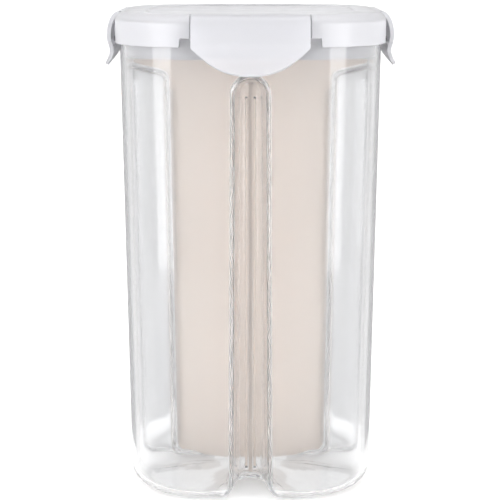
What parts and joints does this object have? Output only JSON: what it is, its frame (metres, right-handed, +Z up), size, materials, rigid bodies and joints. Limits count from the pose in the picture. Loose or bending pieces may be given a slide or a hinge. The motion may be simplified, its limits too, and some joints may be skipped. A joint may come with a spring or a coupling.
{
  "type": "cereal storage canister",
  "caption": "Tall clear four-lobed food canister with a lift-out cross divider and a press-on lid held by snap flaps.",
  "frame": {"origin": "middle of the base, on the surface the canister stands on", "axes": "+Z up, -Y front, +X right as seen from the front"},
  "size_m": [0.1226, 0.1226, 0.2005],
  "materials": {
    "clear_tub": "clear moulded plastic with a faint blue tint, glossy inside and out",
    "frosted_panel": "warm white frosted plastic, satin",
    "frosted_lid": "cool white translucent plastic, satin",
    "seal": "white silicone, matte"
  },
  "bodies": {
    "canister": {"canister": "clear_tub"},
    "divider": {"divider_wide_panel": "frosted_panel", "divider_cross_panel": "frosted_panel"},
    "lid": {"lid": "frosted_lid", "gasket": "seal", "hinge_web_front": "frosted_lid", "hinge_web_back": "frosted_lid", "hinge_web_left": "frosted_lid", "hinge_web_right": "frosted_lid"},
    "flap_front": {"flap_front": "frosted_lid"},
    "flap_back": {"flap_back": "frosted_lid"},
    "flap_left": {"flap_left": "frosted_lid"},
    "flap_right": {"flap_right": "frosted_lid"}
  },
  "joints": [
    {"name": "divider_lift", "type": "slide", "parent": "canister", "child": "divider", "axis": [0, 0, 1], "range_m": [0, 0.2]},
    {"name": "lid_lift", "type": "slide", "parent": "divider", "child": "lid", "axis": [0, 0, 1], "range_m": [0, 0.06]},
    {"name": "flap_front_hinge", "type": "hinge", "parent": "lid", "child": "flap_front", "pos_m": [0, -0.052, 0.2002], "axis": [-1, 0, 0], "range_deg": [-4, 140]},
    {"name": "flap_back_hinge", "type": "hinge", "parent": "lid", "child": "flap_back", "pos_m": [0, 0.052, 0.2002], "axis": [1, 0, 0], "range_deg": [-4, 140]},
    {"name": "flap_left_hinge", "type": "hinge", "parent": "lid", "child": "flap_left", "pos_m": [-0.052, 0, 0.2002], "axis": [0, 1, 0], "range_deg": [-4, 140]},
    {"name": "flap_right_hinge", "type": "hinge", "parent": "lid", "child": "flap_right", "pos_m": [0.052, 0, 0.2002], "axis": [0, -1, 0], "range_deg": [-4, 140]}
  ]
}
